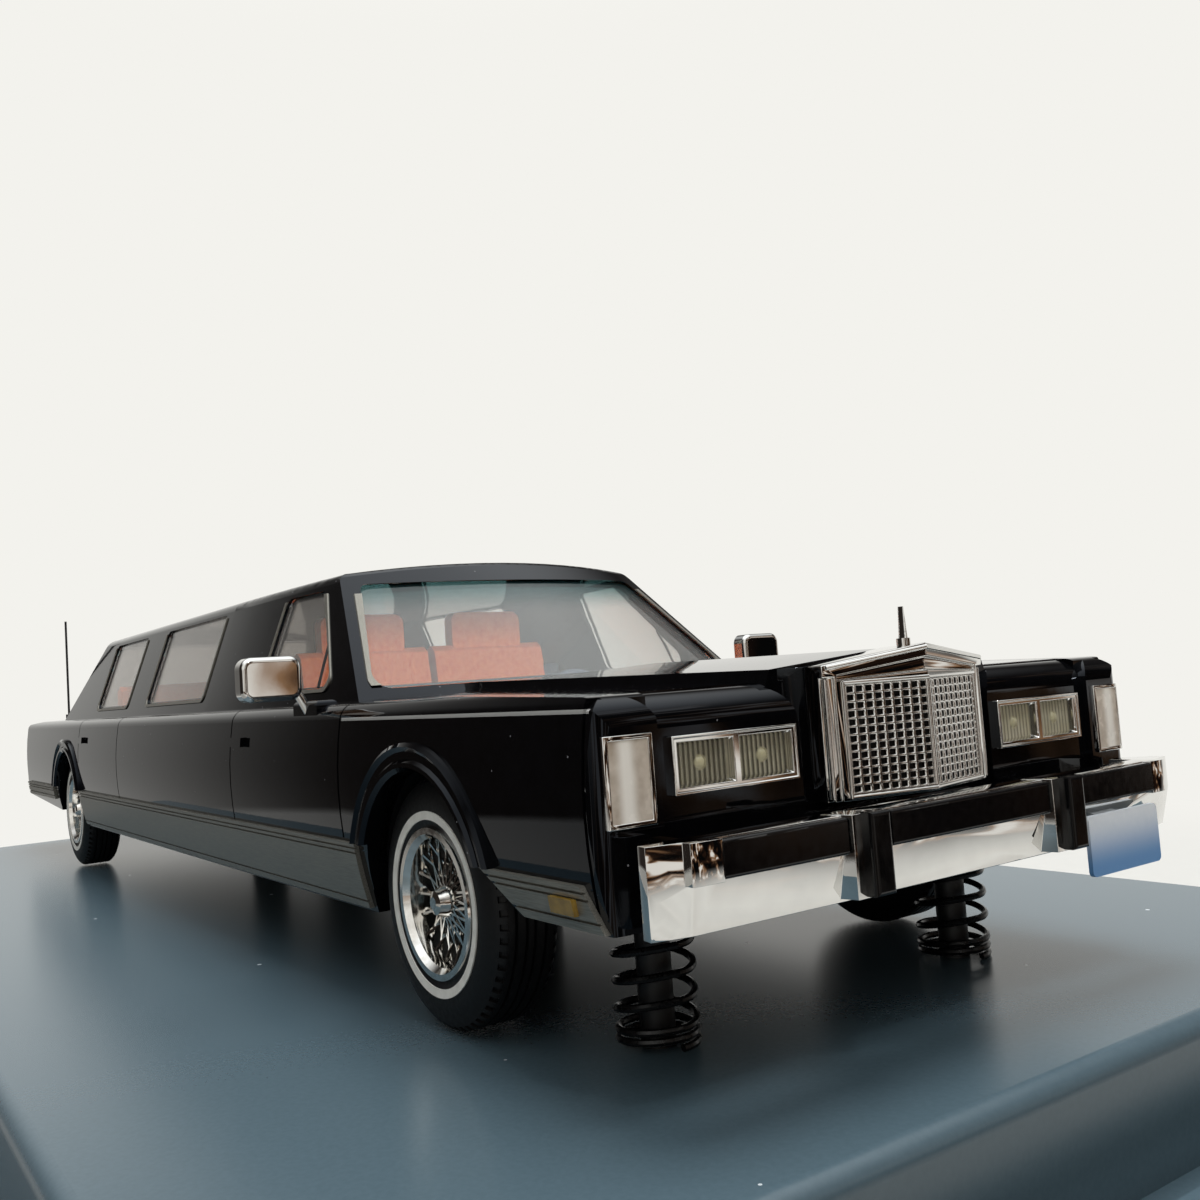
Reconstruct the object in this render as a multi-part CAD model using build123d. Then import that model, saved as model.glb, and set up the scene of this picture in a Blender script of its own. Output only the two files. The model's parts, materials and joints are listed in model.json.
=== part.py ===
from build123d import *
from functools import lru_cache
from math import atan2, cos, degrees, pi, sin, sqrt
import os

os.makedirs("parts", exist_ok=True)

# Driving sizes in millimetres of a 1:43 display model.
# Car pieces are drawn from the point under the front axle on the plinth: x forward, y left, z up.
WHEELBASE = 115.0
FRONT_X = 20.7             # front face of the fender end caps
TAIL_X = -149.4            # rear face of the body
BODY_HALF = 22.8           # half width at the waist
WAIST_Z = 14.0
SILL_HALF = 21.5
SILL_Z = 6.4
CREASE_HALF = 22.4         # sharp line along the fender, where the bevel starts
CREASE_Z = 19.9
FENDER_HALF = 21.2
BELT_Z = 21.45
HOOD_FRONT_Z = 20.55
DECK_END_Z = 20.6
COWL_X = -12.0
DECK_X = -127.0
BODY_WALL = 1.3
CORNER_R = 1.3             # plan radius of the body's four corners
NOSE_R = 1.6               # rounding along the top of the nose
RUMP_R = 1.0

ROOF_Z = 33.0
ROOF_RAIL_Z = 31.9
CABIN_BELT_HALF = 20.4
CABIN_ROOF_HALF = 16.7
CABIN_TAPER = 1.3          # the sides draw in towards the windscreen
TAPER_X = -52.0
CABIN_WALL = 1.1
SCREEN_BASE_X = -16.2
SCREEN_TOP_X = -27.6
SCREEN_BOW = 4.5
REAR_BASE_X = -126.0
REAR_TOP_X = -112.0
REAR_BOW = 2.0
WINDOW_Z = 22.3
WINDOW_TOP_Z = 30.9
GLASS_INSET = 0.25
GLASS_T = 0.5
GLASS_GAP = 0.03

TYRE_R = 7.93
TYRE_W = 5.0
TYRE_Y = 19.25             # middle of each tyre
RIM_R = 4.7
AXLE_R = 0.8
AXLE_PLAY = 0.05
ROAD_GAP = 0.15            # tyres hang clear of the plinth
ARCH_R = 8.45
HOUSING_R = 8.75
HOUSING_Y = 15.7
MOULD_Z = 11.3             # top edge of the lower side moulding
MOULD_T = 0.35

BUMPER_TOP = 13.5
BUMPER_STEP = 11.45
BUMPER_BOTTOM = 9.0
BUMPER_HALF = 22.3
BUMPER_KNEE = 19.9
BUMPER_OUT = 3.85          # from the body's end face
PAD_OUT = 5.25
GUARD_Y = 8.6
STRIP_END = 18.5           # rub strips run to here, then a bright shoe

DECK_MARGIN = 5.2          # plinth deck beyond the car at each end
DECK_HALF = 45.6
PLINTH_Z = 15.0
LIP_Z = 9.0
GROOVE_Z = 7.4
GROOVE_W = 3.2
LIP_W = 2.2
PLINTH_WALL = 2.4
DECK_R = 3.0

SPRING_X = 11.7
SPRING_Y = 13.4
SPRING_R = 2.3             # coil radius to the middle of the wire
WIRE_R = 0.23
SPRING_SEAT_Z = 8.3
SPRING_PITCH = 1.55

GROOVE = 0.26              # shut lines
GROOVE_D = 0.3
SCREW_XS = (-24.0, -96.0)

AXLE_Z = TYRE_R + ROAD_GAP
FRONT_TIP = FRONT_X + PAD_OUT
TAIL_TIP = TAIL_X - PAD_OUT + 1.0
CAR_LENGTH = FRONT_TIP - TAIL_TIP
CAR_X = -(FRONT_TIP + TAIL_TIP) / 2
CAR = Location((CAR_X, 0, PLINTH_Z))
AXLES = {"front": 0.0, "rear": -WHEELBASE}
SIDES = {"right": -1, "left": 1}


def block(x0, x1, y0, y1, z0, z1):
    return Pos((x0 + x1) / 2, (y0 + y1) / 2, (z0 + z1) / 2) * Box(abs(x1 - x0), abs(y1 - y0), abs(z1 - z0))


def both(shape):
    return shape + mirror(shape, about=Plane.XZ)


def side_cut(points, half):
    """Outline of (x, z) points through the whole width."""
    return extrude(Plane.XZ * make_face(Polyline(*points, close=True)), half, both=True)


def front_cut(points, x0, x1):
    """Outline of (y, z) points from x0 to x1."""
    return extrude(Plane.YZ.offset(x0) * make_face(Polyline(*points, close=True)), x1 - x0)


def plan_cut(points, z0, z1):
    return extrude(Plane.XY.offset(z0) * make_face(Polyline(*points, close=True)), z1 - z0)


def y_rod(x, z, y0, y1, r):
    return Pos(x, (y0 + y1) / 2, z) * Rot(90, 0, 0) * Cylinder(r, abs(y1 - y0))


def z_rod(x, y, z0, z1, r):
    return Pos(x, y, (z0 + z1) / 2) * Cylinder(r, z1 - z0)


def save(node, *solids):
    export_step(Compound(label=node, children=[s.moved(CAR) for s in solids]), f"parts/{node}.step")


def solids_of(shape):
    return list(shape.solids())


# Body forms. Each takes an inset, so that skins, pockets and glass follow the same surfaces.
@lru_cache(maxsize=None)
def lower_form(inset=0.0, drop=0.0):
    sill, waist, crease = SILL_HALF - inset, BODY_HALF - inset, CREASE_HALF - inset
    fender, floor = FENDER_HALF - inset, SILL_Z - drop
    top, crease_z = BELT_Z - 0.45 - inset, CREASE_Z - inset / 2
    edges = [
        ThreePointArc((sill, SILL_Z), (waist, WAIST_Z), (crease, crease_z)),
        ThreePointArc((crease, crease_z), (crease - 0.4, CREASE_Z + 0.75 - inset), (fender, top)),
        ThreePointArc((fender, top), (0, BELT_Z + 0.15 - inset), (-fender, top)),
        ThreePointArc((-fender, top), (-crease + 0.4, CREASE_Z + 0.75 - inset), (-crease, crease_z)),
        ThreePointArc((-crease, crease_z), (-waist, WAIST_Z), (-sill, SILL_Z)),
    ]
    if drop > 0:
        edges += [Polyline((-sill, SILL_Z), (-sill, floor), (sill, floor), (sill, SILL_Z))]
    else:
        edges += [Line((-sill, floor), (sill, floor))]
    front, tail = FRONT_X - inset, TAIL_X + inset
    form = extrude(Plane.YZ.offset(tail) * make_face(edges), front - tail)
    profile = [
        (front, floor), (front, HOOD_FRONT_Z - inset), (COWL_X, BELT_Z - inset),
        (COWL_X, 40), (DECK_X, 40), (DECK_X, BELT_Z - inset), (tail, DECK_END_Z - inset), (tail, floor),
    ]
    side = make_face(Polyline(*profile, close=True))
    nose = side.vertices().filter_by(lambda v: v.X > front - 0.01 and v.Y > 15)
    side = fillet(nose, NOSE_R - inset / 2)
    rump = side.vertices().filter_by(lambda v: v.X < tail + 0.01 and v.Y > 15)
    side = fillet(rump, RUMP_R - inset / 2)
    form &= extrude(Plane.XZ * side, 30, both=True)
    plan = RectangleRounded(front - tail, 2 * waist + 0.2, max(CORNER_R - inset, 0.3))
    return form & extrude(Pos((front + tail) / 2, 0, 0) * plan, 40)


def cabin_outline(z, inset):
    share = (z - BELT_Z) / (ROOF_RAIL_Z - BELT_Z)
    half = CABIN_BELT_HALF + (CABIN_ROOF_HALF - CABIN_BELT_HALF) * share - 1.07 * inset
    front = SCREEN_BASE_X + (SCREEN_TOP_X - SCREEN_BASE_X) * share - 1.5 * inset
    rear = REAR_BASE_X + (REAR_TOP_X - REAR_BASE_X) * share + 1.6 * inset
    bow = SCREEN_BOW - 1.2 * share
    corner = half - CABIN_TAPER
    edges = [
        ThreePointArc((front, corner), (front + bow, 0), (front, -corner)),
        TangentArc((TAPER_X, -half), (front, -corner), tangent=(1, 0)),
        Line((TAPER_X, -half), (rear, -half)),
        ThreePointArc((rear, -half), (rear - REAR_BOW, 0), (rear, half)),
        Line((rear, half), (TAPER_X, half)),
        TangentArc((TAPER_X, half), (front, corner), tangent=(1, 0)),
    ]
    return Plane.XY.offset(z) * make_face(edges)


@lru_cache(maxsize=None)
def cabin_form(inset=0.0, base_z=20.3):
    form = loft([cabin_outline(base_z, inset), cabin_outline(ROOF_Z + 1, inset)], ruled=True)
    rail = ROOF_RAIL_Z - inset
    edges = [
        ThreePointArc((22, rail - 0.6), (0, ROOF_Z - inset), (-22, rail - 0.6)),
        Polyline((-22, rail - 0.6), (-22, 0), (22, 0), (22, rail - 0.6)),
    ]
    return form & extrude(Plane.YZ.offset(-140) * make_face(edges), 140)


# Windows: columns are lower front x, upper front x, upper rear x, lower rear x.
SIDE_WINDOWS = [
    (-21.4, -29.4, -37.0, -37.0),
    (-54.0, -54.0, -77.7, -77.7),
    (-87.3, -87.3, -104.8, -104.8),
]


def side_window(row, gap):
    low_front, top_front, top_rear, low_rear = row
    points = [
        (low_front - gap, WINDOW_Z + gap), (top_front - gap, WINDOW_TOP_Z - gap),
        (top_rear + gap, WINDOW_TOP_Z - gap), (low_rear + gap, WINDOW_Z + gap),
    ]
    solid = side_cut(points, 30)
    return fillet(solid.edges().filter_by(Axis.Y), 0.8)


def end_window(low_half, top_half, low_z, top_z, x0, x1, gap):
    points = [
        (low_half - gap, low_z + gap), (top_half - gap, top_z - gap),
        (-top_half + gap, top_z - gap), (-low_half + gap, low_z + gap),
    ]
    solid = front_cut(points, x0, x1)
    return fillet(solid.edges().filter_by(Axis.X), 1.0)


def screen_window(gap):
    return end_window(17.9, 14.2, 21.9, 31.1, -36, -4, gap)


def rear_window_cut(gap):
    return end_window(17.6, 14.2, 22.6, 30.9, -134, -106, gap)


# Body shell
outer = lower_form()

# Nose: a panel set back between the end caps, rounded eyebrows over the lamps, a recess behind the grille
BROW_X, BROW_IN, BROW_R, RECESS_X = FRONT_X - 0.5, 8.4, 2.3, FRONT_X - 1.5
HOOD_EDGE_X = FRONT_X - 2.2
brow_edges = [
    ThreePointArc((BROW_X, 18.7), (BROW_X - 0.45, 19.9), (HOOD_EDGE_X, HOOD_FRONT_Z - 0.02)),
    Polyline((HOOD_EDGE_X, HOOD_FRONT_Z - 0.02), (HOOD_EDGE_X, 24), (FRONT_X + 1, 24), (FRONT_X + 1, 12.9),
             (BROW_X, 12.9), (BROW_X, 18.7)),
]
outer -= extrude(Plane.XZ * make_face(brow_edges), 18.7, both=True)
brow_top = HOOD_FRONT_Z - 0.1
brow_side, brow_low = BROW_IN + BROW_R, brow_top - BROW_R
bend = BROW_R * (1 - sqrt(0.5))
recess_edges = [
    Polyline((brow_side, 24), (-brow_side, 24), (-brow_side, brow_top)),
    ThreePointArc((-brow_side, brow_top), (-BROW_IN - bend, brow_top - bend), (-BROW_IN, brow_low)),
    Polyline((-BROW_IN, brow_low), (-BROW_IN, 12.9), (BROW_IN, 12.9), (BROW_IN, brow_low)),
    ThreePointArc((BROW_IN, brow_low), (BROW_IN + bend, brow_top - bend), (brow_side, brow_top)),
    Line((brow_side, brow_top), (brow_side, 24)),
]
outer -= extrude(Plane.YZ.offset(RECESS_X) * make_face(recess_edges), 4)

# Fender end caps: a rounded top, parted from the fender by a seam
CAP_X, CAP_IN, CAP_OUT, CAP_Z, CAP_TOP_Z = FRONT_X - 0.85, 18.7, BODY_HALF, 19.3, 20.6
cap_edges = [
    ThreePointArc((CAP_IN, CAP_Z), ((CAP_IN + CAP_OUT) / 2, CAP_TOP_Z), (CAP_OUT, CAP_Z)),
    Polyline((CAP_OUT, CAP_Z), (CAP_OUT, 24), (CAP_IN, 24), (CAP_IN, CAP_Z)),
]
outer -= both(extrude(Plane.YZ.offset(CAP_X) * make_face(cap_edges), 3))

# Raised middle of the hood: columns are half width and height from the foot to the ridge
dome_front = [(10.2, 19.0), (9.4, 21.3), (0, 22.1), (-9.4, 21.3), (-10.2, 19.0)]
dome_rear = [(12.6, 19.0), (11.2, 21.95), (0, 22.5), (-11.2, 21.95), (-12.6, 19.0)]
dome = loft([
    Plane.YZ.offset(RECESS_X) * make_face(Polyline(*dome_front, close=True)),
    Plane.YZ.offset(COWL_X - 2) * make_face(Polyline(*dome_rear, close=True)),
], ruled=True)

cabin = cabin_form()
roof_edges = cabin.edges().filter_by(lambda e: e.center().Z > ROOF_RAIL_Z - 1.2)
cabin = fillet(roof_edges, 1.5)

# Lip rings round each wheel arch: columns are radius and distance from the middle plane.
FLARE = [
    (ARCH_R, 21.5), (ARCH_R, 22.85), (8.7, 23.15), (9.0, 23.15), (9.2, 22.95), (9.7, 22.95), (10.0, 23.2),
    (10.25, 23.0), (10.3, 21.5)]
flare_face = make_face(Polyline(*[(r, y) for r, y in FLARE], close=True))
flares = []
for axle_x in AXLES.values():
    ring = revolve(Plane.XY * flare_face, Axis.Y)
    ring = Pos(axle_x, 0, AXLE_Z) * ring
    flares.append(ring & block(axle_x - 12, axle_x + 12, 20, 25, MOULD_Z, 22))

mirror_foot = block(-21.6, -16.6, -22.3, -20.6, 20.2, 21.35)
mirror_foot = fillet(mirror_foot.edges().filter_by(lambda e: e.center().Z > 21.3), 0.4)

shell = outer + dome + cabin + both(mirror_foot)
for flare in flares:
    shell += both(flare)

cavity = lower_form(BODY_WALL, 3.0) & block(TAIL_X + 2.4, FRONT_X - 3.2, -30, 30, 0, 30)
cavity += cabin_form(CABIN_WALL, 19.0)
shell -= cavity

for row in SIDE_WINDOWS:
    shell -= side_window(row, 0)
shell -= screen_window(0)
shell -= rear_window_cut(0)

for axle_x in AXLES.values():
    nose = 12.7 if axle_x == 0 else 9.6
    throat = side_cut([
        (axle_x - 8.6, AXLE_Z), (axle_x - 9.6, 3), (axle_x + nose, 3), (axle_x + nose, 8.4),
        (axle_x + 8.0, MOULD_Z), (axle_x + 6, AXLE_Z + 2)], 30)
    shell -= y_rod(axle_x, AXLE_Z, -30, 30, ARCH_R) + throat
shell -= block(9.0, FRONT_X + 1, -30, 30, 0, BUMPER_BOTTOM - 0.1)
shell -= side_cut([(-WHEELBASE - 8, 0), (-WHEELBASE - 8, 7.6), (TAIL_X - 1, 9.2), (TAIL_X - 1, 0)], 30)

# Shut lines. Columns are x of the line, low z and high z on both sides.
SIDE_LINES = [(-12.0, 11.5, 21.3), (-37.2, 7.2, 21.3), (-82.4, 7.2, 21.3), (-105.6, 15.0, 21.3)]
lines = block(-12.6, HOOD_EDGE_X, 19.4, 19.4 + GROOVE, 20, 23)
lines += block(HOOD_EDGE_X - 0.5, HOOD_EDGE_X - 0.5 + GROOVE, 10.0, 19.5, 20, 23)
lines += block(TAIL_X - 1, DECK_X - 1, 18.6, 18.6 + GROOVE, 19, 23)
for x, z0, z1 in SIDE_LINES:
    lines += block(x, x + GROOVE, 15, 25, z0, z1)
lines += block(CAP_X - GROOVE, CAP_X, 21.4, 25, 9.5, 21)
lines = both(lines)
lines += block(DECK_X - 1, DECK_X - 1 + GROOVE, -18.8, 18.8, 19, 23)
lines += block(TAIL_X - 1, TAIL_X + 2, -18.8, 18.8, 13.6, 13.6 + GROOVE)
skin = lower_form() - lower_form(GROOVE_D)
shell -= lines & skin

# Pockets for lamps
BEZEL_Y0, BEZEL_Y1, BEZEL_Z0, BEZEL_Z1 = 8.94, 17.75, 15.2, 18.25
BEZEL_DEEP = 1.4
bezel_pocket = block(FRONT_X - 0.5 - BEZEL_DEEP, FRONT_X + 1, BEZEL_Y0, BEZEL_Y1, BEZEL_Z0, BEZEL_Z1)
CORNER_Y0, CORNER_Y1, CORNER_Z0, CORNER_Z1 = 19.2, 22.2, 14.0, 18.6
corner_region = block(FRONT_X - 0.8, FRONT_X + 1, CORNER_Y0, CORNER_Y1, CORNER_Z0, CORNER_Z1)
TAIL_Y0, TAIL_Y1, TAIL_Z0, TAIL_Z1 = 18.9, 22.1, 13.9, 18.9
tail_region = block(TAIL_X - 1, TAIL_X + 0.8, TAIL_Y0, TAIL_Y1, TAIL_Z0, TAIL_Z1)
shell -= both(bezel_pocket) + both(corner_region) + both(tail_region)
save("body_shell", *solids_of(shell))

# Glass
pane = cabin_form(GLASS_INSET) - cabin_form(GLASS_INSET + GLASS_T)
save("windscreen", *solids_of(pane & screen_window(GLASS_GAP)))
save("rear_window", *solids_of(pane & rear_window_cut(GLASS_GAP)))
bright_skin = cabin_form(-0.12) - cabin_form()
post_trim = bright_skin & (screen_window(-0.45) - screen_window(0))
save("screen_trim", *solids_of(post_trim & both(block(-40, 0, 13.4, 22, 22.2, 30.2))))
frames = []
for row in SIDE_WINDOWS:
    ring = bright_skin & (side_window(row, -0.3) - side_window(row, 0))
    frames += solids_of(ring & both(block(-140, 0, 5, 30, 15, 30.6)))
save("window_trim", *frames)
for side, sign in SIDES.items():
    half_space = block(-140, 0, sign * 5, sign * 30, 15, 40)
    panes = []
    for row in SIDE_WINDOWS:
        panes += solids_of(pane & side_window(row, GLASS_GAP) & half_space)
    save(f"side_glass_{side}", *panes)

# Chassis plate with wheel housings, axle bearings, screw posts and exhaust relief
CHASSIS_Z0, CHASSIS_Z1, CHASSIS_HALF = 6.5, 7.7, 19.7
chassis = block(-10.2, -104.6, -CHASSIS_HALF, CHASSIS_HALF, CHASSIS_Z0, CHASSIS_Z1)
chassis += block(10.5, -127, -HOUSING_Y, HOUSING_Y, CHASSIS_Z0, CHASSIS_Z1)
chassis += block(-124.6, TAIL_X + 2.6, -17.0, 17.0, SPRING_SEAT_Z, SPRING_SEAT_Z + 1.2)
chassis += block(-124.6, -127, -HOUSING_Y, HOUSING_Y, CHASSIS_Z0, SPRING_SEAT_Z + 1.2)
chassis += block(8.0, FRONT_X - 3.4, -16.5, 16.5, SPRING_SEAT_Z + 0.7, SPRING_SEAT_Z + 1.9)
chassis += block(8.0, 10.5, -HOUSING_Y, HOUSING_Y, CHASSIS_Z0, SPRING_SEAT_Z + 1.9)
for axle_x in AXLES.values():
    housing = y_rod(axle_x, AXLE_Z, HOUSING_Y - 0.7, 20.9, HOUSING_R + 0.7)
    housing -= y_rod(axle_x, AXLE_Z, HOUSING_Y, 22, HOUSING_R)
    housing &= block(axle_x - 12, axle_x + 12, 0, 25, CHASSIS_Z0, 25)
    housing &= lower_form(BODY_WALL + 0.15, 3.0)
    bearing = block(axle_x - 1.8, axle_x + 1.8, 11.0, HOUSING_Y - 0.3, CHASSIS_Z0, AXLE_Z + 1.8)
    chassis += both(housing + bearing)
for x in SCREW_XS:
    chassis += z_rod(x, 0, 0, CHASSIS_Z1, 2.4)
chassis += Pos(-72, 8, CHASSIS_Z0) * Rot(0, 90, 0) * Cylinder(0.6, 104)
chassis -= block(SPRING_X - 3.2, SPRING_X + 3.2, -30, 30, 0, SPRING_SEAT_Z + 0.7)
spring_pad = z_rod(SPRING_X, SPRING_Y, SPRING_SEAT_Z, SPRING_SEAT_Z + 1.2, 2.9)
chassis += both(spring_pad)
for axle_x in AXLES.values():
    chassis -= y_rod(axle_x, AXLE_Z, -30, 30, AXLE_R + AXLE_PLAY)
SCREW_R = 0.9
for x in SCREW_XS:
    chassis -= z_rod(x, 0, -1, 5.0, SCREW_R)
save("chassis_plate", *solids_of(chassis))

# Plinth: raised deck, cover groove, outer lip, hollow below
deck_l, deck_w = CAR_LENGTH + 2 * DECK_MARGIN, 2 * DECK_HALF
out = GROOVE_W + LIP_W
mid_x = -CAR_X


def slab(grow, z0, z1, r):
    face = Pos(mid_x, 0, z0) * RectangleRounded(deck_l + 2 * grow, deck_w + 2 * grow, r)
    return extrude(face, z1 - z0)


deck_z, lip_z, groove_z = 0.0, LIP_Z - PLINTH_Z, GROOVE_Z - PLINTH_Z
deck = slab(0, -PLINTH_Z, deck_z, DECK_R)
deck = fillet(deck.faces().sort_by(Axis.Z)[-1].edges(), 1.1)
base = slab(out, -PLINTH_Z, lip_z, DECK_R + out)
base = fillet(base.faces().sort_by(Axis.Z)[-1].edges(), 0.6)
base -= slab(GROOVE_W, groove_z, lip_z + 1, DECK_R + GROOVE_W)
plinth = base + deck
plinth -= slab(-PLINTH_WALL, -PLINTH_Z, -PLINTH_WALL, DECK_R - PLINTH_WALL + 0.4)
plinth -= slab(out - PLINTH_WALL, -PLINTH_Z, groove_z - PLINTH_WALL, DECK_R + out - PLINTH_WALL)
for x in SCREW_XS:
    plinth -= z_rod(x, 0, -PLINTH_Z, 1, SCREW_R + 0.2)
save("plinth", *solids_of(plinth))

screws = []
for x in SCREW_XS:
    screw = z_rod(x, 0, -PLINTH_WALL - 0.1, 4.6, SCREW_R)
    head = z_rod(x, 0, -PLINTH_WALL - 1.4, -PLINTH_WALL, 2.0)
    head -= block(x - 1.5, x + 1.5, -0.25, 0.25, -PLINTH_WALL - 2, -PLINTH_WALL - 0.8)
    head -= block(x - 0.25, x + 0.25, -1.5, 1.5, -PLINTH_WALL - 2, -PLINTH_WALL - 0.8)
    screws += solids_of(screw + head)
save("plinth_screws", *screws)

# Coil springs from half turns, each a half ring tilted so that the next one runs on smoothly
CLOSED = 2 * WIRE_R + 0.08
turn_rises = [CLOSED] * 2
left = SPRING_SEAT_Z - 2 * WIRE_R - sum(turn_rises) - CLOSED
turns = int(left / SPRING_PITCH + 0.5)
turn_rises += [left / turns] * turns + [CLOSED]


def coil(x, y):
    wire, z, side = None, WIRE_R, 1
    for rise in turn_rises:
        for half in range(2):
            step = rise / 2
            long_r = sqrt(SPRING_R ** 2 + (step / 2) ** 2)
            tilt = degrees(atan2(step / 2, SPRING_R))
            ring = Pos(long_r, 0, 0) * Rot(90, 0, 0) * RegularPolygon(WIRE_R, 8)
            bow = revolve(ring, Axis.Z, revolution_arc=180)
            bow = Rot(0, 0, 0 if side > 0 else 180) * Rot(0, tilt, 0) * bow
            bow = Pos(x, y, z + step / 2) * bow
            wire = bow if wire is None else wire + bow
            z += step
            side = -side
    return wire


springs = []
posts = []
for sign in SIDES.values():
    springs += solids_of(coil(SPRING_X, sign * SPRING_Y))
    posts += solids_of(z_rod(SPRING_X, sign * SPRING_Y, 0, SPRING_SEAT_Z, 1.05))
save("coil_springs", *springs)
save("spring_posts", *posts)

# Interior
FLOOR_Z0 = CHASSIS_Z1
tub = block(-16, -104.4, -19.0, 19.0, FLOOR_Z0, 20.0)
tub -= block(-16.8, -103.6, -18.2, 18.2, FLOOR_Z0 + 0.8, 21)
shelf = block(-103.6, -124.0, -17.0, 17.0, 18.6, 19.4)
save("interior_tub", *solids_of(tub + shelf))

dash_outline = [(-16.8, 8.6), (-16.8, 20.6), (-21.5, 20.2), (-22.4, 17.5), (-20.4, 14.0), (-18.4, 8.6)]
dash = side_cut(dash_outline, 17.6)
save("dashboard", *solids_of(fillet(dash.edges().filter_by(Axis.Y).group_by(Axis.Z)[-1], 0.5)))

WHEEL_Y = 7.4
tilt = Pos(-25.0, WHEEL_Y, 19.0) * Rot(0, 65, 0)
steering = tilt * Torus(3.5, 0.32)
steering += tilt * Box(0.5, 6.9, 0.4)
steering += tilt * Pos(0, 0, -0.1) * Cylinder(0.9, 0.7)
column = tilt * Pos(0, 0, 2.2) * Cylinder(0.45, 4.6)
steering += column
steering -= dash
save("steering_wheel", *solids_of(steering)[:1])

# Seats: columns are front x of the cushion, rear x of the back, middle y, half width, top z, facing
SEATS = {
    "front_seats": [(-31.0, -44.6, -7.0, 6.6, 26.0, 1), (-31.0, -44.6, 7.0, 6.6, 26.0, 1)],
    "rear_seats": [(-89.5, -103.4, 0.0, 17.4, 25.0, 1), (-64.5, -51.5, 0.0, 17.0, 24.0, -1)],
}
for node, rows in SEATS.items():
    seats = []
    for lip_x, back_x, y, half, top_z, way in rows:
        floor = FLOOR_Z0 + 0.8
        outline = [
            (lip_x, floor), (lip_x, 14.6), (lip_x - way * 0.6, 15.3), (back_x + way * 4.2, 14.8),
            (back_x + way * 2.6, top_z - 0.6), (back_x + way * 1.6, top_z), (back_x + way * 0.2, top_z - 0.8),
            (back_x, floor)]
        seat = Pos(0, y, 0) * side_cut(outline, half)
        seat = fillet(seat.edges().filter_by(Axis.Y).filter_by(lambda e: e.center().Z > 14.7), 0.4)
        if node == "front_seats":
            rest = block(back_x + way * 0.6, back_x + way * 2.2, y - 4.2, y + 4.2, top_z - 0.8, top_z + 3.4)
            seat += fillet(rest.edges().filter_by(Axis.X), 0.9)
        seats += solids_of(seat)
    save(node, *seats)
save("partition", block(-45.6, -46.4, -18.1, 18.1, FLOOR_Z0 + 0.8, 23.5))

# Grille: each half is drawn flat, then swung back about the prow line in the middle
GRILLE_HALF, GRILLE_Z0, GRILLE_Z1, GRILLE_PEAK = 7.1, 13.6, 21.3, 22.25
GRILLE_BACK, PROW_X, PROW_ANGLE = RECESS_X, 22.6, 12.5
SIDE_BAR, BAR_STEP = 1.5, 0.4
leaf_w = GRILLE_HALF / cos(PROW_ANGLE * pi / 180)
hole_w, hole_z0, hole_z1 = leaf_w - SIDE_BAR, GRILLE_Z0 + 0.4, GRILLE_Z1 - 1.2
swing = Pos(PROW_X, 0, 0) * Rot(0, 0, PROW_ANGLE)
half_room = block(GRILLE_BACK, PROW_X + 1, 0, 12, 10, 30)


def folded(leaf):
    """Both halves of what is drawn flat with its face at x = 0."""
    return both(swing * leaf & half_room)


house = [(-1.5, GRILLE_Z0), (leaf_w, GRILLE_Z0), (leaf_w, GRILLE_Z1), (0, GRILLE_PEAK), (-1.5, GRILLE_PEAK)]
leaf = front_cut(house, -5, 0) - block(-6, 1, -2, hole_w, hole_z0, hole_z1)
for i in (1, 2):
    leaf -= block(-0.2 * (3 - i), 1, leaf_w - i * BAR_STEP, leaf_w + 1, GRILLE_Z0 - 1, GRILLE_Z1 - 0.7)
arch_w = hole_w + 0.5
arch = [(-1, GRILLE_PEAK - 0.7), (arch_w, GRILLE_Z1 - 0.6), (arch_w, GRILLE_Z1 - 0.9), (-1, GRILLE_Z1 - 0.6)]
leaf -= front_cut(arch, -0.2, 1)
grille = folded(leaf)
save("grille_surround", *solids_of(grille - dome))

# Folded mesh: two leaves of square holes meeting at a rib in the middle
COLUMNS, ROWS = 9, 13
MESH_POST, MESH_BAR, MESH_T = 0.32, 0.2, 0.3
cell_y, cell_z = hole_w / COLUMNS, (hole_z1 - hole_z0) / ROWS


def ring_wire(y0, y1, z0, z1):
    return Wire(Polyline((0, y0, z0), (0, y1, z0), (0, y1, z1), (0, y0, z1), close=True).edges())


holes = []
for i in range(COLUMNS):
    for j in range(ROWS):
        shift = (i % 3 - 1) * 0.05
        y0, z0 = i * cell_y + MESH_POST / 2 - shift, hole_z0 + j * cell_z + MESH_BAR / 2
        holes.append(ring_wire(y0, y0 + cell_y - MESH_POST, z0, z0 + cell_z - MESH_BAR))
sheet = Face(ring_wire(-0.1, hole_w, hole_z0, hole_z1), holes)
mesh = folded(extrude(sheet, MESH_T, dir=(-1, 0, 0)))
mesh += block(PROW_X - 0.5, PROW_X + 0.1, -0.2, 0.2, hole_z0, hole_z1)
save("grille_mesh", *solids_of(mesh - grille)[:1])
backing = block(GRILLE_BACK + 0.4, GRILLE_BACK + 0.7, -6.4, 6.4, GRILLE_Z0, GRILLE_Z1) - grille - dome - mesh
save("grille_backing", backing.solids().sort_by(SortBy.VOLUME)[-1])

FINIAL_X = PROW_X - 1.6
finial = z_rod(FINIAL_X, 0, 21.8, 22.6, 0.42)
finial += Pos(FINIAL_X, 0, 22.6) * extrude(Ellipse(0.32, 0.16), 1.9, taper=3)
save("hood_finial", *solids_of(finial - dome - grille))

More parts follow.
